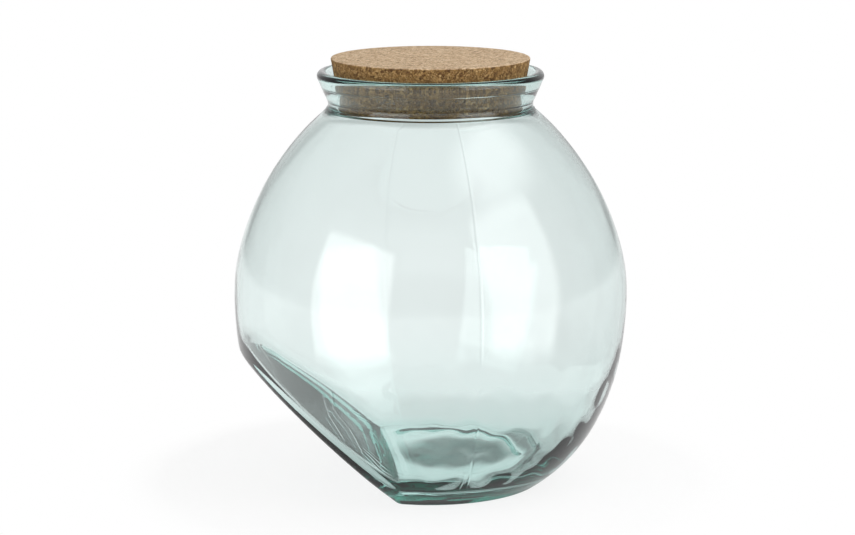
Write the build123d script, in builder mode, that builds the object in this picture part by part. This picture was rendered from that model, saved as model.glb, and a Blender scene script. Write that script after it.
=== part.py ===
from build123d import *
import os
from math import acos, cos, radians, sin, tan

# Glass storage jar with a tapered cork stopper, in millimetres.
# The origin is the centre of the foot on the table and +Z points up.
# The body is a squat bulb with one flat slanted facet, which faces -X and
# starts at the foot, so that the jar can stand upright or lie tilted on it.

# Outside of the glass body
body_diameter = 240.0
equator_height = 120.0
foot_diameter = 134.0
foot_edge_radius = 5.0
belly_power = 2.33
shoulder_power = 1.76
curve_steps = 8

# Narrow waist of the neck, measured at its sharp corner before rounding
waist_diameter = 122.0
waist_height = 232.0
waist_fillet_radius = 5.0

# Lip, flared out above the waist, measured at its sharp outer corner
lip_diameter = 141.0
lip_rise = 21.3
lip_height = waist_height + lip_rise
lip_thickness = 7.0
lip_outer_round_share = 0.48
lip_inner_round_share = 0.33

# Slanted facet: its angle from the table, and how far from the centre of the
# foot it would meet the table
facet_angle = 43.0
facet_foot_distance = 29.0
facet_edge_radius = 7.0

# Inside of the glass, thin at the equator and heavy at the bottom
side_wall = 3.0
facet_wall = 6.6
floor_thickness = 10.5
floor_diameter = 134.0
floor_fillet_radius = 16.0
inner_facet_fillet_radius = 18.0
inner_waist_fillet_radius = 3.0

# Shallow recess under the foot, which leaves a rim to stand on
recess_depth = 1.6
standing_rim_width = 10.0
recess_corner_radius = 12.0
recess_side_taper = 45.0

# Mouth and cork stopper: the taper of the cork seats in the narrow ring of
# the mouth with only the seat clearance between them
mouth_diameter = 111.0
seat_clearance = 0.3
cork_taper = 10.3
cork_height = 30.4
cork_below_waist = 1.3
cork_edge_radius = 0.8

# How far a cutting shape runs past the face that it opens
overrun = 5.0

os.makedirs("parts", exist_ok=True)


def swelling(wide_radius, end_radius, end_height, power):
    """Points of a superellipse that narrows from the equator to an end ring."""
    end_angle = acos((end_radius / wide_radius) ** (power / 2))
    reach = (end_height - equator_height) / sin(end_angle) ** (2 / power)
    points = []
    for step in range(1, curve_steps + 1):
        angle = end_angle * step / curve_steps
        radius = wide_radius * cos(angle) ** (2 / power)
        height = equator_height + reach * sin(angle) ** (2 / power)
        points.append((radius, height))
    return points


def bulb_curve(wide_radius, low_ring, high_ring):
    """Points up the side of a bulb, from its lowest ring over the equator to its highest."""
    low_points = swelling(wide_radius, *low_ring, belly_power)
    high_points = swelling(wide_radius, *high_ring, shoulder_power)
    return low_points[::-1] + [(wide_radius, equator_height)] + high_points


def facet_plane(depth):
    """Plane at a depth behind the slanted facet, facing out of the jar."""
    lean = radians(facet_angle)
    outward = Vector(-sin(lean), 0, -cos(lean))
    reach = facet_foot_distance * sin(lean) - depth
    return Plane(origin=outward * reach, z_dir=outward)


# Hollow of the jar, open through the neck
mouth_ring = (mouth_diameter / 2, waist_height)
floor_ring = (floor_diameter / 2, floor_thickness)
inside_curve = bulb_curve(body_diameter / 2 - side_wall, floor_ring, mouth_ring)
lip_inner_radius = lip_diameter / 2 - lip_thickness

with BuildPart() as hollow:
    with BuildSketch(Plane.XZ):
        with BuildLine():
            Polyline((0, lip_height + overrun), (0, floor_thickness), floor_ring)
            Spline(*inside_curve)
            Polyline(
                mouth_ring,
                (lip_inner_radius, lip_height),
                (lip_inner_radius, lip_height + overrun),
                (0, lip_height + overrun),
            )
        make_face()
    revolve(axis=Axis.Z)
    hollow_rings = hollow.edges().filter_by(GeomType.CIRCLE).sort_by(Axis.Z)
    fillet(hollow_rings[0], floor_fillet_radius)
    hollow_rings = hollow.edges().filter_by(GeomType.CIRCLE)
    mouth_edge = hollow_rings.filter_by_position(Axis.Z, waist_height, waist_height)
    fillet(mouth_edge, inner_waist_fillet_radius)
    split(bisect_by=facet_plane(facet_wall), keep=Keep.BOTTOM)
    inner_facet = hollow.faces().filter_by(facet_plane(facet_wall))
    fillet(inner_facet.edges(), inner_facet_fillet_radius)

# Thick glass jar: bulb, foot, slanted facet, waist and flared lip
waist_ring = (waist_diameter / 2, waist_height)
foot_ring = (foot_diameter / 2, 0)
outside_curve = bulb_curve(body_diameter / 2, foot_ring, waist_ring)

with BuildPart() as glass_jar:
    with BuildSketch(Plane.XZ):
        with BuildLine():
            Polyline((0, lip_height), (0, 0), foot_ring)
            Spline(*outside_curve)
            Polyline(waist_ring, (lip_diameter / 2, lip_height), (0, lip_height))
        make_face()
    revolve(axis=Axis.Z)
    jar_rings = glass_jar.edges().filter_by(GeomType.CIRCLE).sort_by(Axis.Z)
    fillet(jar_rings[0], foot_edge_radius)
    jar_rings = glass_jar.edges().filter_by(GeomType.CIRCLE)
    waist_edge = jar_rings.filter_by_position(Axis.Z, waist_height, waist_height)
    fillet(waist_edge, waist_fillet_radius)
    split(bisect_by=facet_plane(0), keep=Keep.BOTTOM)
    outer_facet = glass_jar.faces().filter_by(facet_plane(0))
    fillet(outer_facet.edges(), facet_edge_radius)

    recess_radius = foot_diameter / 2 - standing_rim_width
    recess_side = facet_foot_distance - standing_rim_width
    with BuildSketch(Plane.XY):
        Circle(recess_radius)
        with Locations((-recess_side, 0)):
            Rectangle(
                recess_radius, 2 * recess_radius, align=(Align.MAX, Align.CENTER), mode=Mode.SUBTRACT
            )
        recess_corners = vertices().group_by(Axis.X)[0]
        fillet(recess_corners, recess_corner_radius)
    extrude(amount=recess_depth, taper=recess_side_taper, mode=Mode.SUBTRACT)

    add(hollow.part, mode=Mode.SUBTRACT)
    lip_edges = glass_jar.edges().filter_by(GeomType.CIRCLE).group_by(Axis.Z)[-1].sort_by(SortBy.RADIUS)
    fillet(lip_edges[-1], lip_thickness * lip_outer_round_share)
    lip_edges = glass_jar.edges().filter_by(GeomType.CIRCLE).group_by(Axis.Z)[-1].sort_by(SortBy.RADIUS)
    fillet(lip_edges[0], lip_thickness * lip_inner_round_share)
glass_jar.part.label = "glass_jar"
export_step(glass_jar.part, "parts/glass_jar.step")

# Tapered cork stopper, wedged in the mouth's narrow ring
cork_slope = tan(radians(cork_taper))
cork_seat_radius = mouth_diameter / 2 - seat_clearance
cork_bottom_height = waist_height - cork_below_waist
cork_top_height = cork_bottom_height + cork_height
cork_bottom_radius = cork_seat_radius - cork_below_waist * cork_slope
cork_top_radius = cork_bottom_radius + cork_height * cork_slope

with BuildPart() as cork_stopper:
    with BuildSketch(Plane.XZ):
        with BuildLine():
            Polyline(
                (0, cork_bottom_height),
                (cork_bottom_radius, cork_bottom_height),
                (cork_top_radius, cork_top_height),
                (0, cork_top_height),
                close=True,
            )
        make_face()
    revolve(axis=Axis.Z)
    fillet(cork_stopper.edges().filter_by(GeomType.CIRCLE), cork_edge_radius)
cork_stopper.part.label = "cork_stopper"
export_step(cork_stopper.part, "parts/cork_stopper.step")
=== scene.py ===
from math import acos, cos, pi, radians, sin, sqrt, tan

import bpy
import numpy as np
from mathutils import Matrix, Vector


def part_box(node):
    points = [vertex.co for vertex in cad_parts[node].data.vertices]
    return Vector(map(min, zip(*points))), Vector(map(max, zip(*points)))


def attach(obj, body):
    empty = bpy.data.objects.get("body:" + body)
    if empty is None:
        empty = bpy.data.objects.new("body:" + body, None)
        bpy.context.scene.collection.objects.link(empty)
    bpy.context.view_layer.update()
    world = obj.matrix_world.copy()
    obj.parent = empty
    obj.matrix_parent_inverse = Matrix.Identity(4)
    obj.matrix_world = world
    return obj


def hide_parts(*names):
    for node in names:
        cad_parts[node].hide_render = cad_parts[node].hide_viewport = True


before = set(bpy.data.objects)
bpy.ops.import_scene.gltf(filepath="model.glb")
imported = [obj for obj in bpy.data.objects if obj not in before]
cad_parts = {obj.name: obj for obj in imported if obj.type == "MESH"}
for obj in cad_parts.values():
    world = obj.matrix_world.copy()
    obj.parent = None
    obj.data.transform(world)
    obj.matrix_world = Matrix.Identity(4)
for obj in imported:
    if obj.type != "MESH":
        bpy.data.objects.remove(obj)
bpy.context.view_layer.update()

# Looks of a glass storage jar with a cork stopper, in metres, in the frame of the CAD model.
# The facet of the jar faces -X and the camera stands in front, towards -Y.

# Outside of the glass, as in the CAD model
body_radius = 0.120
equator_height = 0.120
foot_radius = 0.067
foot_edge_radius = 0.005
foot_edge_turn = radians(32)
belly_power = 2.33
shoulder_power = 1.76
waist_radius = 0.061
waist_height = 0.232
waist_fillet_radius = 0.005
lip_radius = 0.0705
lip_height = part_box("glass_jar")[1].z
lip_thickness = 0.007
lip_outer_round = 0.48 * lip_thickness
lip_inner_round = 0.33 * lip_thickness

# Slanted facet, with its directions out of the glass and down the slope
facet_lean = radians(43.0)
facet_foot_distance = 0.029
facet_edge_radius = 0.007
facet_middle_height = 0.045
facet_middle_x = -facet_foot_distance - facet_middle_height / tan(facet_lean)
facet_middle = np.array([facet_middle_x, 0, facet_middle_height])
facet_outward = np.array([-sin(facet_lean), 0, -cos(facet_lean)])
facet_down_slope = np.array([cos(facet_lean), 0, -sin(facet_lean)])

# Inside of the glass: its floor lies a little higher than in the CAD model and rises towards +Y
# up to a ridge, and the wall behind the facet grows down the slope and towards +Y
side_wall = 0.003
facet_wall = 0.0066
floor_thickness = 0.0105
floor_lift = 0.003
floor_radius = 0.067
floor_fillet_radius = 0.016
floor_edge_turn = radians(38)
floor_slope = 0.01
floor_ridge_y = 0.030
floor_ridge_blend = 0.010
inner_facet_fillet_radius = 0.020
facet_wall_growth = (0.044, 0.035)
mouth_radius = 0.0555
mouth_fillet_radius = 0.006

# Step inside the throat of the neck
crease_height = 0.2448
crease_depth = 0.0011
crease_run = 0.005
crease_edge_height = 0.0006

# Recess under the foot
recess_depth = 0.0016
standing_rim_width = 0.010
recess_side_width = 0.008
recess_corner_blend = 0.02
on_table_height = 0.0005

# Waviness of the glass, the same on both faces, so that the wall stays even. It is sunk, so that
# it stays inside the CAD model, and has more waves low down on the inside, away from the facet.
wave_seed = 1
wave_height = 0.00012
wave_length = 0.055
wave_sink = 2.5
wave_count = 16
wave_length_spread = (0.7, 1.6)
wave_start_height = 0.004
waist_wave_fade = 0.03
calm_facet_reach = 0.030
low_wave_seed = 2
low_wave_rise = 0.00030
low_wave_length = 0.050
low_wave_top = 0.055
low_wave_fade = 0.03
fine_wave_seed = 3
fine_wave_height = 0.00009
fine_wave_length = 0.016
fine_wave_top = 0.100
fine_wave_fade = 0.06

# Rings of ripples round the edge of the inner floor. They wander in and out by the wobbles, each
# a distance, a number of waves all round and a phase.
floor_ripple_height = 0.00018
floor_ripple_length = 0.005
floor_ripple_radius = 0.063
floor_ripple_width = 0.006
floor_ripple_top = 0.03
floor_ripple_fade = 0.01
floor_ripple_wobbles = [(0.0016, 3, 0.7), (0.0011, 7, 2.0), (0.0006, 17, 1.0)]

# Thin creases across the inside of the facet, each a line of points (across, down the slope)
streak_height = 0.00028
streak_width = 0.0008
streak_end_fade = 0.01
streak_depth_reach = 0.005
streak_lines = [
    [(0.025, -0.0768), (-0.015, -0.0762), (-0.047, -0.0677)],
    [(0.056, -0.0668), (0.012, -0.0697), (-0.011, -0.0592), (-0.043, -0.0535)],
    [(0.032, -0.1292), (0.010, -0.1207), (-0.021, -0.1186), (-0.048, -0.1031)],
]

# Two upright mould seams, and the fine ring that the mould leaves round the waist
seam_height = 0.00014
seam_width = 0.0007
seam_azimuth = radians(5.7)
parting_ring_height = 0.2306
parting_ring_rise = 0.00030
parting_ring_width = 0.0006

# Fineness of the skin of the jar: points of its curves, and steps in degrees round the axis and
# from straight down, where a run is (start, end, step). The lead is how far before the end of a
# curve its direction is taken for the arc there.
curve_steps = 8
extra_curve_steps = 2
fine_curve_steps = 4000
arc_lead_steps = 220
waist_arc_count = 22
lip_arc_count = 14
round_arc_count = 10
flare_count = 10
throat_count = 40
first_turn = -60
plain_turn_step = 1.1
front_turn_step = 0.6
seam_turn_step = 0.25
seam_band = 1.5
outer_ring_runs = [(0.6, 24, 0.6), (24, 34, 0.3), (34, 100, 0.5)]
outer_last_step = 1.0
inner_ring_runs = [(0.8, 24, 0.8), (24, 80, 0.35), (80, 96, 0.7)]
inner_last_step = 1.2
last_ring_gap = 0.5

# Centre of the bulb, limits for directions from it that miss a flat face, which then counts as
# far away, and how often the distance to the sloping floor is worked out again
centre = np.array([0.0, 0.0, equator_height])
least_facing = 0.01
far_away = 10.0
widest_reach = 0.2
reach_rounds = 4


def swelling(wide_radius, end_radius, end_height, power, extra):
    """Points of a superellipse that narrows from the equator to an end ring, and on past it."""
    end_angle = acos((end_radius / wide_radius) ** (power / 2))
    reach = (end_height - equator_height) / sin(end_angle) ** (2 / power)
    points = []
    for step in range(1, curve_steps + extra + 1):
        angle = end_angle * step / curve_steps
        radius = wide_radius * cos(angle) ** (2 / power)
        height = equator_height + reach * sin(angle) ** (2 / power)
        points.append((radius, height))
    return points


def smooth_curve(points, count):
    """Natural cubic spline through points, by chord length, as that many points."""
    points = np.array(points)
    gaps = np.linalg.norm(np.diff(points, axis=0), axis=1)
    stations = np.concatenate(([0.0], np.cumsum(gaps)))
    size = len(points)
    system = np.zeros((size, size))
    wanted_bends = np.zeros((size, 2))
    system[0, 0] = 1
    system[-1, -1] = 1
    for i in range(1, size - 1):
        system[i, i - 1] = gaps[i - 1]
        system[i, i] = 2 * (gaps[i - 1] + gaps[i])
        system[i, i + 1] = gaps[i]
        after = (points[i + 1] - points[i]) / gaps[i]
        before = (points[i] - points[i - 1]) / gaps[i - 1]
        wanted_bends[i] = 6 * (after - before)
    bends = np.linalg.solve(system, wanted_bends)
    places = np.linspace(0, stations[-1], count)
    i = np.clip(np.searchsorted(stations, places, side="right") - 1, 0, size - 2)
    gap = gaps[i][:, None]
    a = (stations[i + 1] - places)[:, None] / gap
    b = 1 - a
    straight = a * points[i] + b * points[i + 1]
    return straight + ((a**3 - a) * bends[i] + (b**3 - b) * bends[i + 1]) * gap**2 / 6


def bulb_curve(wide_radius, low_ring, high_ring):
    """Smooth side of a bulb, from below its lowest ring over the equator to its highest."""
    low_points = swelling(wide_radius, *low_ring, belly_power, extra_curve_steps)
    high_points = swelling(wide_radius, *high_ring, shoulder_power, 0)
    points = low_points[::-1] + [(wide_radius, equator_height)] + high_points
    return smooth_curve(points, fine_curve_steps)


def smallest(a, b, blend):
    """The smaller of two distances, rounded off where they are less than the blend apart."""
    nearness = np.clip(1 - np.abs(a - b) / blend, 0, 1)
    return np.minimum(a, b) - blend * nearness**3 / 6


def blend_for(radius, turn):
    """Blend that rounds an edge, where two faces turn by an angle, about as a radius does."""
    return 6 * radius * (1 / cos(turn / 2) - 1)


def floor_reach(direction, height, slope):
    """Distance from the centre, in each direction, to a floor that rises up to the ridge."""
    falling = np.maximum(-direction[..., 2], least_facing)
    reach = (equator_height - height) / falling
    for again in range(reach_rounds):
        across = np.clip(direction[..., 1] * reach, -widest_reach, widest_reach)
        past_ridge = across - floor_ridge_y
        rise = -slope * floor_ridge_blend * np.log1p(np.exp(-past_ridge / floor_ridge_blend))
        reach = (equator_height - height - rise) / falling
    return np.where(falling > least_facing, reach, far_away)


def star(curve, floor, facet, azimuth, down):
    """Points of a bulb with a flat floor and a facet, in directions out from its centre.

    floor is (height, slope, blend) and facet is (depth, growths of the wall, blend).
    azimuth turns from +X to +Y, and down is the angle from straight down.
    """
    curve_down = np.arctan2(curve[:, 0], equator_height - curve[:, 1])
    curve_reach = np.hypot(curve[:, 0], curve[:, 1] - equator_height)
    bulb_distance = np.interp(down, curve_down, curve_reach)
    direction = np.stack(
        [np.sin(down) * np.cos(azimuth), np.sin(down) * np.sin(azimuth), -np.cos(down)], -1
    )
    floor_height, slope, floor_blend = floor
    floor_distance = floor_reach(direction, floor_height, slope)
    facet_depth, (growth_down, growth_back), facet_blend = facet
    middle = facet_middle - facet_outward * facet_depth
    tilted = facet_outward + facet_down_slope * growth_down + np.array([0, growth_back, 0])
    plane_distance = (middle - centre) @ tilted
    facing = direction @ tilted
    facet_distance = np.where(
        facing > least_facing, plane_distance / np.maximum(facing, least_facing), far_away
    )
    reach = smallest(bulb_distance, floor_distance, floor_blend)
    reach = smallest(reach, facet_distance, facet_blend)
    return centre + direction * reach[..., None]


def outwards(points):
    """Unit directions from the centre of the bulb to points."""
    away = points - centre
    return away / np.linalg.norm(away, axis=-1)[..., None]


def facet_streaks(points):
    """Height of the thin creases that run across the inside of the facet."""
    depth = points @ facet_outward - facet_foot_distance * sin(facet_lean) + facet_wall
    on_facet = np.exp(-((depth / streak_depth_reach) ** 2))
    along = points @ facet_down_slope
    across = points[..., 1]
    rise = np.zeros(across.shape)
    for line in streak_lines:
        sides, places = np.array(line[::-1]).T
        middle = np.interp(across, sides, places)
        near_end = np.clip((across - sides[0]) / streak_end_fade + 1, 0, 1)
        far_end = np.clip((sides[-1] - across) / streak_end_fade + 1, 0, 1)
        rise += near_end * far_end * np.exp(-(((along - middle) / streak_width) ** 2))
    return streak_height * on_facet * rise


def floor_ripples(points):
    """Height of the wavy rings round the edge of the inner floor."""
    azimuth = np.arctan2(points[..., 1], points[..., 0])
    wobble = np.zeros(azimuth.shape)
    for distance, wave_number, phase in floor_ripple_wobbles:
        wobble += distance * np.sin(wave_number * azimuth + phase)
    off = np.hypot(points[..., 0], points[..., 1]) - floor_ripple_radius - wobble
    low = np.clip((floor_ripple_top - points[..., 2]) / floor_ripple_fade, 0, 1)
    ring = np.exp(-((off / floor_ripple_width) ** 2)) * low
    return floor_ripple_height * ring * np.sin(2 * pi * off / floor_ripple_length)


def corner_arc(before, corner, after, radius, count):
    """Arc that rounds a corner between two neighbour points, all as (radius, height)."""
    before, corner, after = np.array(before), np.array(corner), np.array(after)
    back = (before - corner) / np.linalg.norm(before - corner)
    on = (after - corner) / np.linalg.norm(after - corner)
    half = acos(back @ on) / 2
    run = radius / tan(half)
    start, end = corner + back * run, corner + on * run
    t = np.linspace(0, 1, count)[:, None]
    pull = sin(half)
    weight = (1 - t) ** 2 + 2 * t * (1 - t) * pull + t**2
    return ((1 - t) ** 2 * start + 2 * t * (1 - t) * pull * corner + t**2 * end) / weight


def between(start, end, count):
    """That many points on the straight line between two points, both left out."""
    return np.linspace(start, end, count + 2)[1:-1]


def spaced(*runs):
    """Angles in radians from runs of (start, end, step) in degrees, each start included."""
    angles = [np.arange(start, end - step / 2, step) for start, end, step in runs]
    return np.radians(np.concatenate(angles))


def waves(points, seed, length):
    """Smooth unevenness of about unit size, from seeded plane waves."""
    draw = np.random.default_rng(seed)
    directions = draw.normal(size=(wave_count, 3))
    directions /= np.linalg.norm(directions, axis=1)[:, None]
    lengths = length * draw.uniform(*wave_length_spread, wave_count)
    phases = draw.uniform(0, 2 * pi, wave_count)
    total = np.zeros(points.shape[:-1])
    for direction, own_length, phase in zip(directions, lengths, phases):
        total += np.sin(points @ direction * 2 * pi / own_length + phase)
    return total / sqrt(wave_count / 2)


def revolved(profile, turns):
    """Rings of points from a profile of (radius, height), turned about the Z axis."""
    rings = profile[:, None, :] * np.ones((1, len(turns), 1))
    radius, height = rings[..., 0], rings[..., 1]
    return np.stack([radius * np.cos(turns), radius * np.sin(turns), height], -1)


def shell(name, rows, first_pole, last_pole, material):
    """Closed smooth object from rings of points, with a pole at each end."""
    ring_count, turn_count = rows.shape[:2]
    vertices = np.concatenate([rows.reshape(-1, 3), [first_pole, last_pole]])
    index = np.arange(ring_count * turn_count).reshape(ring_count, turn_count)
    turned = np.roll(index, -1, axis=1)
    quads = np.stack([index[:-1], turned[:-1], turned[1:], index[1:]], -1).reshape(-1, 4)
    first = ring_count * turn_count
    first_fan = np.stack([np.full(turn_count, first), turned[0], index[0]], -1)
    last_fan = np.stack([np.full(turn_count, first + 1), index[-1], turned[-1]], -1)
    faces = quads.tolist() + first_fan.tolist() + last_fan.tolist()
    mesh = bpy.data.meshes.new(name)
    mesh.from_pydata(vertices.tolist(), [], faces)
    mesh.shade_smooth()
    mesh.materials.append(material)
    piece = bpy.data.objects.new(name, mesh)
    bpy.context.scene.collection.objects.link(piece)
    return piece


class Nodes:
    """Short way to write a node tree."""

    def __init__(self, tree):
        self.tree = tree
        tree.nodes.clear()

    def add(self, kind, inputs=None, **settings):
        node = self.tree.nodes.new(kind)
        for setting, value in settings.items():
            setattr(node, setting, value)
        for socket, value in (inputs or {}).items():
            self.fill(node.inputs[socket], value)
        return node

    def fill(self, socket, value):
        if isinstance(value, bpy.types.NodeSocket):
            self.tree.links.new(value, socket)
        else:
            socket.default_value = value

    def math(self, operation, *values):
        inputs = dict(enumerate(values))
        return self.add("ShaderNodeMath", inputs, operation=operation).outputs[0]

    def vector_math(self, operation, inputs):
        return self.add("ShaderNodeVectorMath", inputs, operation=operation).outputs

    def split(self, vector):
        return self.add("ShaderNodeSeparateXYZ", {"Vector": vector}).outputs

    def draws(self, colour):
        """Three random numbers from the random colour of a Voronoi cell."""
        return self.add("ShaderNodeSeparateColor", {"Color": colour}).outputs

    def noise(self, place, scale, detail):
        inputs = {"Vector": place, "Scale": scale, "Detail": detail}
        return self.add("ShaderNodeTexNoise", inputs).outputs

    def rescale(self, value, start, end, low=0.0, high=1.0, kind="LINEAR"):
        """A number from low to high, as a value goes from start to end."""
        ends = {"From Min": start, "From Max": end, "To Min": low, "To Max": high}
        node = self.add("ShaderNodeMapRange", {"Value": value, **ends}, interpolation_type=kind)
        return node.outputs[0]

    def ramp(self, factor, stops, interpolation="LINEAR"):
        """Colour by a factor, from stops of (factor, colour), where a single number is a grey."""
        node = self.add("ShaderNodeValToRGB", {"Fac": factor})
        node.color_ramp.interpolation = interpolation
        elements = node.color_ramp.elements
        while len(elements) < len(stops):
            elements.new(1.0)
        for element, (position, colour) in zip(elements, stops):
            element.position = position
            rgb = colour if isinstance(colour, tuple) else (colour,) * 3
            element.color = (*rgb, 1)
        return node.outputs["Color"]

    def mix(self, factor, a, b, blend_type="MIX"):
        node = self.add("ShaderNodeMix", data_type="RGBA", blend_type=blend_type)
        for index, value in ((0, factor), (6, a), (7, b)):
            self.fill(node.inputs[index], value)
        return node.outputs[2]


white = (1.0, 1.0, 1.0, 1.0)


def new_material(name):
    material = bpy.data.materials.new(name)
    material.use_nodes = True
    return material, Nodes(material.node_tree)


# Tint of the glass and how much of it there is to a metre, and the fine ripple of its faces
glass_tint = (0.22, 0.72, 0.65, 1.0)
glass_tint_density = 29.0
glass_ripple_scale = 60.0
glass_ripple = {"Strength": 0.04, "Distance": 0.001}


def glass_material():
    """Thick recycled glass: clear, with an aqua tint that deepens with its thickness."""
    material, nodes = new_material("aqua_glass")
    place = nodes.add("ShaderNodeTexCoord").outputs["Object"]
    ripple = nodes.noise(place, glass_ripple_scale, 1.0)["Fac"]
    bump = nodes.add("ShaderNodeBump", {"Height": ripple, **glass_ripple})
    surface = nodes.add(
        "ShaderNodeBsdfPrincipled",
        {
            "Base Color": white,
            "Roughness": 0.0,
            "IOR": 1.5,
            "Transmission Weight": 1.0,
            "Normal": bump.outputs["Normal"],
        },
    )
    tint = nodes.add(
        "ShaderNodeVolumeAbsorption", {"Color": glass_tint, "Density": glass_tint_density}
    )
    nodes.add(
        "ShaderNodeOutputMaterial",
        {"Surface": surface.outputs["BSDF"], "Volume": tint.outputs["Volume"]},
    )
    return material


# Colours of the cork by a random draw for each granule and each crumb, on its side and its top.
# The top's lighter colours are partly the cork's own and partly painted light from above.
granule_colours = [
    (0.0, (0.070, 0.030, 0.009)),
    (0.12, (0.130, 0.063, 0.020)),
    (0.35, (0.215, 0.115, 0.036)),
    (0.65, (0.285, 0.160, 0.054)),
    (0.88, (0.400, 0.240, 0.092)),
    (1.0, (0.560, 0.370, 0.160)),
]
crumb_colours = [
    (0.0, (0.045, 0.020, 0.008)),
    (0.5, (0.225, 0.122, 0.042)),
    (1.0, (0.520, 0.330, 0.135)),
]
top_granule_colours = [
    (0.0, (0.120, 0.055, 0.022)),
    (0.16, (0.400, 0.245, 0.125)),
    (0.5, (0.600, 0.420, 0.250)),
    (1.0, (0.880, 0.700, 0.490)),
]
top_crumb_colours = [
    (0.0, (0.110, 0.050, 0.020)),
    (0.30, (0.520, 0.350, 0.200)),
    (1.0, (0.920, 0.730, 0.510)),
]

# How much crumbs show in a granule by its own draw, and the shade of the gaps between granules
# by the distance from their edges
crumb_shares = [(0.45, 0.15), (0.75, 0.8)]
gap_shades = [(0.0, 0.45), (0.09, 1.0)]

# Tint on the side by twice its height in metres: painted shade, darker and yellower low down,
# where it sits in the neck
neck_shade_tints = [(0.498, (0.80, 0.74, 0.62)), (0.510, 1.0)]

# Share of the top's colours by how far a face looks up, and share of crumbs among them. The
# lighter top is partly painted light from above.
top_shares = [(0.35, 0.0), (0.8, 1.0)]
top_crumb_share = 0.5

# How many granules, crumbs and grains there are to a metre, and how far edges are stirred
granule_scale = 620.0
crumb_scale = 1700.0
grain_scale = 1500.0
stir_scale = 420.0
stir_distance = 0.0016

# Relief from the granules and the grain, and the range of roughness
granule_relief = 1.2
grain_relief = 0.3
cork_bump = {"Strength": 0.5, "Distance": 0.0006}
cork_roughness = (0.75, 0.95)


def cork_colour(nodes, place):
    """Colour of the pressed cork, and the distance from the edge of each granule."""
    stir = nodes.noise(place, stir_scale, 2.0)["Color"]
    centred = nodes.vector_math("SUBTRACT", {0: stir, 1: (0.5, 0.5, 0.5)})[0]
    shift = nodes.vector_math("SCALE", {0: centred, "Scale": stir_distance})[0]
    stirred = nodes.vector_math("ADD", {0: place, 1: shift})[0]
    granule_places = {"Vector": stirred, "Scale": granule_scale}
    crumb_places = {"Vector": stirred, "Scale": crumb_scale}

    granules = nodes.add("ShaderNodeTexVoronoi", granule_places)
    granule_draws = nodes.draws(granules.outputs["Color"])
    granule_colour = nodes.ramp(granule_draws["Red"], granule_colours)
    crumbs = nodes.add("ShaderNodeTexVoronoi", crumb_places)
    crumb_draws = nodes.draws(crumbs.outputs["Color"])
    crumb_colour = nodes.ramp(crumb_draws["Green"], crumb_colours)
    crumb_share = nodes.ramp(granule_draws["Blue"], crumb_shares)
    side_colour = nodes.mix(crumb_share, granule_colour, crumb_colour)
    edges = nodes.add("ShaderNodeTexVoronoi", granule_places, feature="DISTANCE_TO_EDGE")
    edge_distance = edges.outputs["Distance"]
    gaps = nodes.ramp(edge_distance, gap_shades)
    side_colour = nodes.mix(1.0, side_colour, gaps, "MULTIPLY")
    double_height = nodes.math("MULTIPLY", nodes.split(place)["Z"], 2.0)
    # Painted shade on the side of the cork, low down where it sits in the neck
    neck_shade = nodes.ramp(double_height, neck_shade_tints)
    side_colour = nodes.mix(1.0, side_colour, neck_shade, "MULTIPLY")

    # Lighter colours on the top: partly the sanded cork's own, partly painted light from above
    top_colour = nodes.ramp(granule_draws["Red"], top_granule_colours)
    top_crumbs = nodes.ramp(crumb_draws["Green"], top_crumb_colours)
    top_colour = nodes.mix(top_crumb_share, top_colour, top_crumbs)
    facing = nodes.add("ShaderNodeNewGeometry").outputs["True Normal"]
    top_share = nodes.ramp(nodes.split(facing)["Z"], top_shares)
    return nodes.mix(top_share, side_colour, top_colour), edge_distance


def cork_material():
    """Pressed cork: granules of mixed browns with dark specks, lighter on the sanded top, partly
    as painted light from above.
    """
    material, nodes = new_material("pressed_cork")
    place = nodes.add("ShaderNodeTexCoord").outputs["Object"]
    colour, edge_distance = cork_colour(nodes, place)
    grain = nodes.noise(place, grain_scale, 2.0)["Fac"]
    relief = nodes.math("MULTIPLY", edge_distance, granule_relief)
    relief = nodes.math("ADD", relief, nodes.math("MULTIPLY", grain, grain_relief))
    bump = nodes.add("ShaderNodeBump", {"Height": relief, **cork_bump})
    smoothest, roughest = cork_roughness
    surface = nodes.add(
        "ShaderNodeBsdfPrincipled",
        {
            "Base Color": colour,
            "Roughness": nodes.rescale(grain, 0.0, 1.0, low=smoothest, high=roughest),
            "Specular IOR Level": 0.25,
            "Normal": bump.outputs["Normal"],
        },
    )
    nodes.add("ShaderNodeOutputMaterial", {"Surface": surface.outputs["BSDF"]})
    return material


def foot_rise(points):
    """How far the recess under the foot rises from the table at each point."""
    recess_radius = foot_radius - standing_rim_width
    recess_side = facet_foot_distance - standing_rim_width
    inside = recess_radius - np.hypot(points[..., 0], points[..., 1])
    inside = smallest(inside, points[..., 0] + recess_side, recess_corner_blend)
    ramp = np.clip(inside / recess_side_width, 0, 1)
    return recess_depth * ramp**2 * (3 - 2 * ramp)


def seam_rise(azimuth):
    """Height of the two upright mould seams at each azimuth, on a ring as wide as the body."""
    camera_side = -pi / 2 + seam_azimuth
    rise = np.zeros(azimuth.shape)
    for seam in (camera_side, camera_side + pi):
        off = (azimuth - seam + pi) % (2 * pi) - pi
        rise += np.exp(-((off * body_radius / seam_width) ** 2))
    return seam_height * rise


def jar_turns():
    """Azimuths of the points of each ring: close at the seams, and closer on the facet's side."""
    seam_degrees = np.degrees(seam_azimuth)
    front_seam, back_seam = 270 + seam_degrees, 90 + seam_degrees
    return spaced(
        (first_turn, back_seam - seam_band, plain_turn_step),
        (back_seam - seam_band, back_seam + seam_band, seam_turn_step),
        (back_seam + seam_band, front_seam - seam_band, front_turn_step),
        (front_seam - seam_band, front_seam + seam_band, seam_turn_step),
        (front_seam + seam_band, first_turn + 360, plain_turn_step),
    )


def degrees_from_down(point):
    """Angle of a point of a profile from straight down, seen from the centre of the bulb."""
    return np.degrees(np.arctan2(point[0], equator_height - point[1]))


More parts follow.
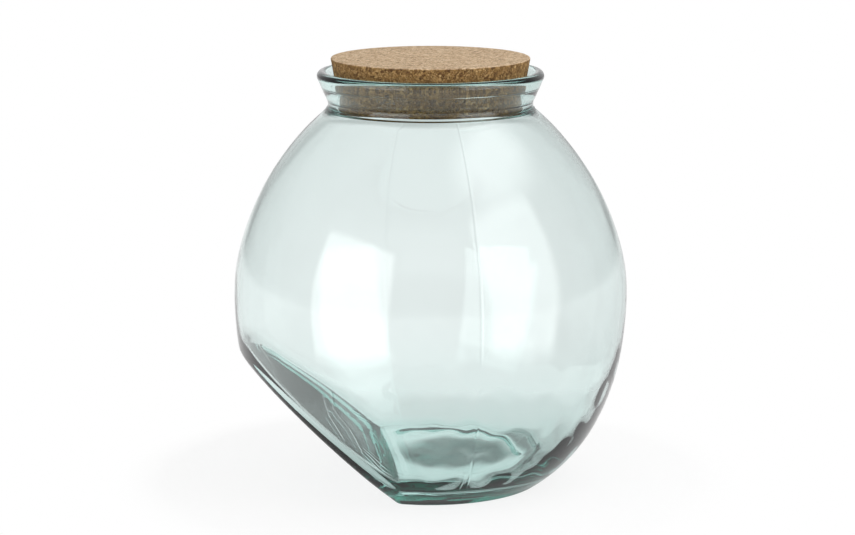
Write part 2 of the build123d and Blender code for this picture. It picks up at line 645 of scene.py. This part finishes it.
def neck_profile(near_waist, near_mouth):
    """Profile from the waist up over the lip and down the mouth, and the angles of its ends."""
    waist = (waist_radius, waist_height)
    lip_outer = (lip_radius, lip_height)
    lip_inner = (lip_radius - lip_thickness, lip_height)
    mouth = (mouth_radius, waist_height)
    waist_arc = corner_arc(near_waist, waist, lip_outer, waist_fillet_radius, waist_arc_count)
    lip_arc = corner_arc(waist, lip_outer, lip_inner, lip_outer_round, lip_arc_count)
    rim_arc = corner_arc(lip_outer, lip_inner, mouth, lip_inner_round, round_arc_count)
    mouth_arc = corner_arc(lip_inner, mouth, near_mouth, mouth_fillet_radius, round_arc_count)
    flare = between(waist_arc[-1], lip_arc[0], flare_count)
    throat = between(rim_arc[-1], mouth_arc[0], throat_count)
    ends = degrees_from_down(waist_arc[0]), degrees_from_down(mouth_arc[-1])

    off_ring = (waist_arc[:, 1] - parting_ring_height) / parting_ring_width
    waist_arc[:, 0] += parting_ring_rise * np.exp(-(off_ring**2))
    below = crease_height - throat[:, 1]
    start = np.clip(below / crease_edge_height + 0.5, 0, 1)
    throat[:, 0] += crease_depth * (start * np.exp(-np.maximum(below, 0) / crease_run))
    return np.concatenate([waist_arc, flare, lip_arc, rim_arc, throat, mouth_arc]), ends


def outer_skin(curve, turns, end_degrees):
    """Rings of the outside of the glass, from the foot up to the waist."""
    last_run = (outer_ring_runs[-1][1], end_degrees - last_ring_gap, outer_last_step)
    azimuth, down = np.meshgrid(turns, spaced(*outer_ring_runs, last_run))
    floor = (0.0, 0.0, blend_for(foot_edge_radius, foot_edge_turn))
    facet = (0.0, (0.0, 0.0), blend_for(facet_edge_radius, pi / 2 - facet_lean))
    outer = star(curve, floor, facet, azimuth, down)
    above_table = np.clip(outer[..., 2] / wave_start_height, 0, 1)
    on_table = outer[..., 2] < on_table_height
    outer[..., 2] += np.where(on_table, foot_rise(outer), 0)
    waviness = wave_height * (waves(outer, wave_seed, wave_length) - wave_sink)
    return outer + outwards(outer) * (above_table * (waviness + seam_rise(azimuth)))[..., None]


def inner_skin(curve, turns, end_degrees):
    """Rings of the inside of the glass, from the mouth down to the floor."""
    last_run = (inner_ring_runs[-1][1], end_degrees - last_ring_gap, inner_last_step)
    azimuth, down = np.meshgrid(turns, spaced(*inner_ring_runs, last_run)[::-1])
    floor_blend = blend_for(floor_fillet_radius, floor_edge_turn)
    facet_blend = blend_for(inner_facet_fillet_radius, pi / 2 - facet_lean)
    floor = (floor_thickness + floor_lift, floor_slope, floor_blend)
    inner = star(curve, floor, (facet_wall, facet_wall_growth, facet_blend), azimuth, down)
    x, height = inner[..., 0], inner[..., 2]
    fade = np.clip((waist_height - height) / waist_wave_fade, 0, 1)
    off_facet = np.clip((x + calm_facet_reach) / calm_facet_reach, 0, 1)
    low = off_facet * np.clip((low_wave_top - height) / low_wave_fade, 0, 1)
    fairly_low = off_facet * np.clip((fine_wave_top - height) / fine_wave_fade, 0, 1)
    waviness = fade * wave_height * (waves(inner, wave_seed, wave_length) - wave_sink)
    waviness += low * low_wave_rise * waves(inner, low_wave_seed, low_wave_length)
    waviness += fairly_low * fine_wave_height * waves(inner, fine_wave_seed, fine_wave_length)
    rise = waviness + facet_streaks(inner) + floor_ripples(inner)
    return inner + outwards(inner) * rise[..., None]


def jar_rows():
    """Rings of points from the middle of the foot, up outside, over the lip and down inside."""
    waist, mouth = (waist_radius, waist_height), (mouth_radius, waist_height)
    outside = bulb_curve(body_radius, (foot_radius, 0.0), waist)
    inside = bulb_curve(body_radius - side_wall, (floor_radius, floor_thickness), mouth)
    near_waist, near_mouth = outside[-arc_lead_steps], inside[-arc_lead_steps]
    neck, (outer_end, inner_end) = neck_profile(near_waist, near_mouth)
    turns = jar_turns()
    outer_rows = outer_skin(outside, turns, outer_end)
    inner_rows = inner_skin(inside, turns, inner_end)
    return np.concatenate([outer_rows, revolved(neck, turns), inner_rows])


def add_jar():
    """The whole glass body as one closed skin, with real walls."""
    rows = jar_rows()
    foot_pole = (0, 0, recess_depth)
    floor_pole = (0, 0, rows[-1, :, 2].mean())
    jar = shell("jar_glass_body", rows, foot_pole, floor_pole, glass_material())
    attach(jar, "jar")
    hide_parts("glass_jar")


# Shape of the cork, the fineness of its skin and the small pits in it
cork_taper = radians(10.3)
cork_edge_radius = 0.0008
cork_edge_count = 5
cork_bottom_count = 25
cork_side_count = 48
cork_top_count = 60
cork_turn_count = 480
cork_poles = (0.002, 0.001)
pit_seed = 5
pit_count = 900
pit_widths = (0.0004, 0.0012)
pit_depth_shares = (0.1, 0.35)


def cork_pits(rows):
    """Depth of the small pits at each point of the cork, on all but its underside."""
    draw = np.random.default_rng(pit_seed)
    first_row = cork_bottom_count + 1
    pit_rows = draw.integers(first_row, len(rows) - 2, pit_count)
    pit_turns = draw.integers(0, cork_turn_count, pit_count)
    sunk = np.zeros(rows.shape[:2])
    for row, turn in zip(pit_rows, pit_turns):
        width = draw.uniform(*pit_widths)
        depth = draw.uniform(*pit_depth_shares) * width
        near = ((rows - rows[row, turn]) ** 2).sum(-1) / width**2
        sunk = np.maximum(sunk, depth * np.exp(-near))
    return sunk


def add_cork():
    """The cork stopper, with small pits and a slightly crumbled edge."""
    low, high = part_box("cork_stopper")
    height = high.z - low.z
    bottom_corner = (high.x - height * tan(cork_taper), low.z)
    top_corner = (high.x, high.z)
    edge = (cork_edge_radius, cork_edge_count)
    bottom_arc = corner_arc((0, low.z), bottom_corner, top_corner, *edge)
    top_arc = corner_arc(bottom_corner, top_corner, (0, high.z), *edge)
    bottom_radius, top_radius = cork_poles
    bottom_face = np.linspace((bottom_radius, low.z), bottom_arc[0], cork_bottom_count + 1)[:-1]
    side = between(bottom_arc[-1], top_arc[0], cork_side_count)
    top_face = np.linspace(top_arc[-1], (top_radius, high.z), cork_top_count)[1:]
    profile = np.concatenate([bottom_face, bottom_arc, side, top_arc, top_face])
    rows = revolved(profile, np.linspace(0, 2 * pi, cork_turn_count, endpoint=False))
    inward = np.array([0, 0, low.z + height / 2]) - rows
    inward /= np.linalg.norm(inward, axis=-1)[..., None]
    rows = rows + inward * cork_pits(rows)[..., None]

    cork = shell("cork_stopper_body", rows, (0, 0, low.z), (0, 0, high.z), cork_material())
    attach(cork, "stopper")
    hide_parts("cork_stopper")


def seen_in_glass(nodes):
    """1 for what gloss or glass shows, and 0 for camera rays and for what lights matt faces."""
    path = nodes.add("ShaderNodeLightPath").outputs
    shiny = nodes.math("MAXIMUM", path["Is Glossy Ray"], path["Is Transmission Ray"])
    before_matt = nodes.math("LESS_THAN", path["Diffuse Depth"], 0.5)
    return nodes.math("MULTIPLY", shiny, before_matt)


# Table top: it keeps the shadow near the jar, and fades into the white around it
table_radius = 0.26
table_corner_count = 96
table_fade = (0.06, 0.20)
white_share_near = 0.84

# Share of white that the table shows in the glass, by the distance from its centre times the
# scale: painted shade round the jar, with a dark painted shadow ring where the jar stands
shade_scale = 5.0
table_shades_in_glass = [
    (0.0, 0.96),
    (0.288, 0.96),
    (0.300, 0.24),
    (0.335, 0.24),
    (0.350, 0.58),
    (0.50, 0.58),
    (0.65, 0.78),
    (0.90, 1.0),
]
# Painted shade eases off towards +Y, behind the jar, up to the lightest share
lighter_behind = (0.010, 0.045)
lightest_behind = 0.84
# Darker matt colour of the table in the glass, which is painted shade, and the colour of its glow
# there
matt_in_glass = (0.24, 0.28, 0.27, 1.0)
white_in_glass = (0.95, 0.95, 0.95, 1.0)

# Painted shadow under the recess: the middle and the half-lengths of an oval, in x, back and
# front, the shares of them where it fades, what it lets through, and how steeply it is still seen
shade_x = 0.014
shade_y = -0.008
shade_half_x = 0.044
shade_half_back = 0.044
shade_half_front = 0.026
shade_fade_shares = (0.60, 1.05)
shade_white_share = 0.03
shade_facing = (0.65, 0.40)


def recess_shade(nodes, x, y):
    """What the painted dark shadow oval under the recess lets through, for all but steep looks
    from above.
    """
    off_x = nodes.math("MULTIPLY", nodes.math("SUBTRACT", x, shade_x), 1 / shade_half_x)
    past_middle = nodes.math("SUBTRACT", y, shade_y)
    back = nodes.math("MULTIPLY", past_middle, 1 / shade_half_back)
    front = nodes.math("MULTIPLY", past_middle, -1 / shade_half_front)
    off_y = nodes.math("MAXIMUM", back, front)
    off = nodes.add("ShaderNodeCombineXYZ", {"X": off_x, "Y": off_y}).outputs[0]
    off = nodes.vector_math("LENGTH", {0: off})["Value"]
    shade = nodes.rescale(off, *shade_fade_shares, low=shade_white_share, kind="SMOOTHSTEP")
    facing = nodes.add("ShaderNodeLayerWeight", {"Blend": 0.5}).outputs["Facing"]
    from_above = nodes.rescale(facing, *shade_facing, kind="SMOOTHSTEP")
    return nodes.math("MAXIMUM", shade, from_above)


def table_material():
    """White to the camera but for the jar's shadow, with painted shades where glass shows it."""
    material, nodes = new_material("pale_table")
    place = nodes.add("ShaderNodeTexCoord").outputs["Object"]
    parts = nodes.split(place)
    flat = nodes.add("ShaderNodeCombineXYZ", {"X": parts["X"], "Y": parts["Y"]}).outputs[0]
    reach = nodes.vector_math("LENGTH", {0: flat})["Value"]
    fade = nodes.rescale(reach, *table_fade, kind="SMOOTHSTEP")
    # Painted shade on the table that only the glass shows: round the jar, lighter behind, a dark
    # oval
    in_glass = nodes.ramp(nodes.math("MULTIPLY", reach, shade_scale), table_shades_in_glass)
    behind = nodes.rescale(parts["Y"], *lighter_behind, high=lightest_behind, kind="SMOOTHSTEP")
    in_glass = nodes.math("MAXIMUM", in_glass, behind)
    in_glass = nodes.math("MULTIPLY", in_glass, recess_shade(nodes, parts["X"], parts["Y"]))
    camera_ray = nodes.add("ShaderNodeLightPath").outputs["Is Camera Ray"]
    in_view = nodes.math("MULTIPLY", nodes.math("MAXIMUM", fade, white_share_near), camera_ray)
    in_glass = nodes.math("MULTIPLY", in_glass, seen_in_glass(nodes))
    white_share = nodes.math("MAXIMUM", in_view, in_glass)
    matt_colour = nodes.mix(camera_ray, matt_in_glass, white)
    matt = nodes.add("ShaderNodeBsdfDiffuse", {"Color": matt_colour}).outputs[0]
    glow_colour = nodes.mix(camera_ray, white_in_glass, white)
    glow = nodes.add("ShaderNodeEmission", {"Color": glow_colour, "Strength": 1.0}).outputs[0]
    both = nodes.add("ShaderNodeMixShader", {0: white_share, 1: matt, 2: glow})
    nodes.add("ShaderNodeOutputMaterial", {"Surface": both.outputs[0]})
    return material


def add_floor():
    """Small round table top under the jar."""
    turns = np.linspace(0, 2 * pi, table_corner_count, endpoint=False)
    vertices = [(table_radius * cos(turn), table_radius * sin(turn), 0) for turn in turns]
    mesh = bpy.data.meshes.new("table_top")
    mesh.from_pydata(vertices, [], [list(range(len(turns)))])
    mesh.materials.append(table_material())
    table = bpy.data.objects.new("table_top", mesh)
    bpy.context.scene.collection.objects.link(table)


# Brightness of the studio in gloss and glass, as stops of (share, brightness). By height and
# across, the share goes from 0 straight down or at -X to 1 straight up or at +X. Behind the jar
# the share is the Y of the direction. The last two act only above the horizon.
studio_by_height = [
    (0.0, 1.0),
    (0.452, 1.0),
    (0.476, 0.62),
    (0.494, 0.66),
    (0.53, 0.95),
    (0.65, 0.92),
    (0.78, 0.74),
    (1.0, 0.65),
]
studio_across = [(0.50, 0.92), (0.55, 1.0), (0.583, 1.0), (0.615, 0.82), (0.80, 0.82)]
studio_behind = [(0.0, 0.34), (0.35, 0.45), (0.97, 1.0)]
studio_left = [(0.30, 0.60), (0.50, 1.0)]
horizon_fade = (-0.07, 0.03)
drift_scale = 5.0
drift_noise = (0.3, 0.7)
drift_brightness = (0.96, 1.06)
studio_on_matt = (0.62, 0.62, 0.62, 1)


def add_world():
    """White studio all round, darker in front and overhead, and dimmer on matt faces."""
    world = bpy.data.worlds.new("studio")
    bpy.context.scene.world = world
    world.use_nodes = True
    nodes = Nodes(world.node_tree)
    direction = nodes.add("ShaderNodeTexCoord").outputs["Generated"]
    parts = nodes.split(direction)
    studio = nodes.ramp(nodes.rescale(parts["Z"], -1.0, 1.0), studio_by_height)
    sideways = nodes.rescale(parts["X"], -1.0, 1.0)
    across = nodes.ramp(sideways, studio_across, "B_SPLINE")
    studio = nodes.mix(1.0, studio, across, "MULTIPLY")
    behind = nodes.ramp(parts["Y"], studio_behind)
    upper = nodes.mix(1.0, behind, nodes.ramp(sideways, studio_left), "MULTIPLY")
    upper = nodes.mix(nodes.rescale(parts["Z"], *horizon_fade), white, upper)
    studio = nodes.mix(1.0, studio, upper, "MULTIPLY")
    noise = nodes.noise(direction, drift_scale, 1.0)["Fac"]
    darkest, brightest = drift_brightness
    drift = nodes.rescale(noise, *drift_noise, low=darkest, high=brightest)
    studio = nodes.mix(1.0, studio, drift, "MULTIPLY")
    camera_ray = nodes.add("ShaderNodeLightPath").outputs["Is Camera Ray"]
    colour = nodes.mix(seen_in_glass(nodes), studio_on_matt, studio)
    colour = nodes.mix(camera_ray, colour, white)
    background = nodes.add("ShaderNodeBackground", {"Color": colour, "Strength": 1.0})
    nodes.add("ShaderNodeOutputWorld", {"Surface": background.outputs[0]})


def lamp_shows(nodes):
    """0 for a lamp straight behind the whole jar, where it would hide the glass, and else 1."""
    path = nodes.add("ShaderNodeLightPath").outputs
    bounces = nodes.math("ADD", path["Glossy Depth"], path["Diffuse Depth"])
    one_wall = nodes.math("LESS_THAN", path["Transmission Depth"], 2.5)
    return nodes.math("MAXIMUM", nodes.math("GREATER_THAN", bounces, 0.5), one_wall)


def add_softbox(name, azimuth, elevation, distance, width, height, brightness, edge):
    """Soft lamp that faces the jar and dims towards its edges; azimuth 0 is -Y and 90 is +X."""
    target = Vector((0, 0, equator_height))
    turn, rise = radians(azimuth), radians(elevation)
    toward = Vector((sin(turn) * cos(rise), -cos(turn) * cos(rise), sin(rise)))
    lamp = bpy.data.lights.new(name, "AREA")
    lamp.shape = "RECTANGLE"
    lamp.size = width
    lamp.size_y = height
    lamp.energy = brightness * pi * width * height
    lamp.use_nodes = True
    nodes = Nodes(lamp.node_tree)
    place = nodes.split(nodes.add("ShaderNodeNewGeometry").outputs["Parametric"])
    inwards = []
    for axis in ("X", "Y"):
        off_middle = nodes.math("ABSOLUTE", nodes.math("SUBTRACT", place[axis], 0.5))
        inwards.append(nodes.rescale(off_middle, 0.5, 0.5 - edge, kind="SMOOTHSTEP"))
    strength = nodes.math("MULTIPLY", nodes.math("MULTIPLY", *inwards), lamp_shows(nodes))
    emission = nodes.add("ShaderNodeEmission", {"Strength": strength})
    nodes.add("ShaderNodeOutputLight", {"Surface": emission.outputs[0]})
    holder = bpy.data.objects.new(name, lamp)
    holder.location = target + toward * distance
    holder.rotation_euler = (-toward).to_track_quat("-Z", "Y").to_euler()
    bpy.context.scene.collection.objects.link(holder)


def add_lights():
    """Two tall softboxes in front, whose images show in the glass, and a wide one above."""
    # Name, azimuth and elevation in degrees, distance, width, height, brightness, soft edge share
    add_softbox("left_softbox", -55, 4, 1.1, 1.02, 1.18, 1.9, 0.09)
    add_softbox("right_softbox", 46, 11, 1.1, 1.02, 1.60, 1.8, 0.15)
    add_softbox("top_softbox", 70, 58, 1.3, 1.7, 1.1, 1.8, 0.40)


def add_camera():
    """Camera in front of the jar, a little to its left and above its middle."""
    image_width = 855
    azimuth = radians(-8.5)
    distance = 1.700
    height = 0.46194
    tilt_down = 0.1918
    lens_pixels = 2831.65
    axis_offset_pixels = 3.0
    camera = bpy.data.cameras.new("camera")
    camera.sensor_width = 36.0
    camera.lens = lens_pixels / image_width * camera.sensor_width
    camera.shift_x = -axis_offset_pixels / image_width
    holder = bpy.data.objects.new("camera", camera)
    holder.location = (distance * sin(azimuth), -distance * cos(azimuth), height)
    holder.rotation_euler = (pi / 2 - tilt_down, 0, azimuth)
    bpy.context.scene.collection.objects.link(holder)
    bpy.context.scene.camera = holder


bpy.context.scene.view_settings.view_transform = "Standard"
add_jar()
add_cork()
add_floor()
add_world()
add_lights()
add_camera()
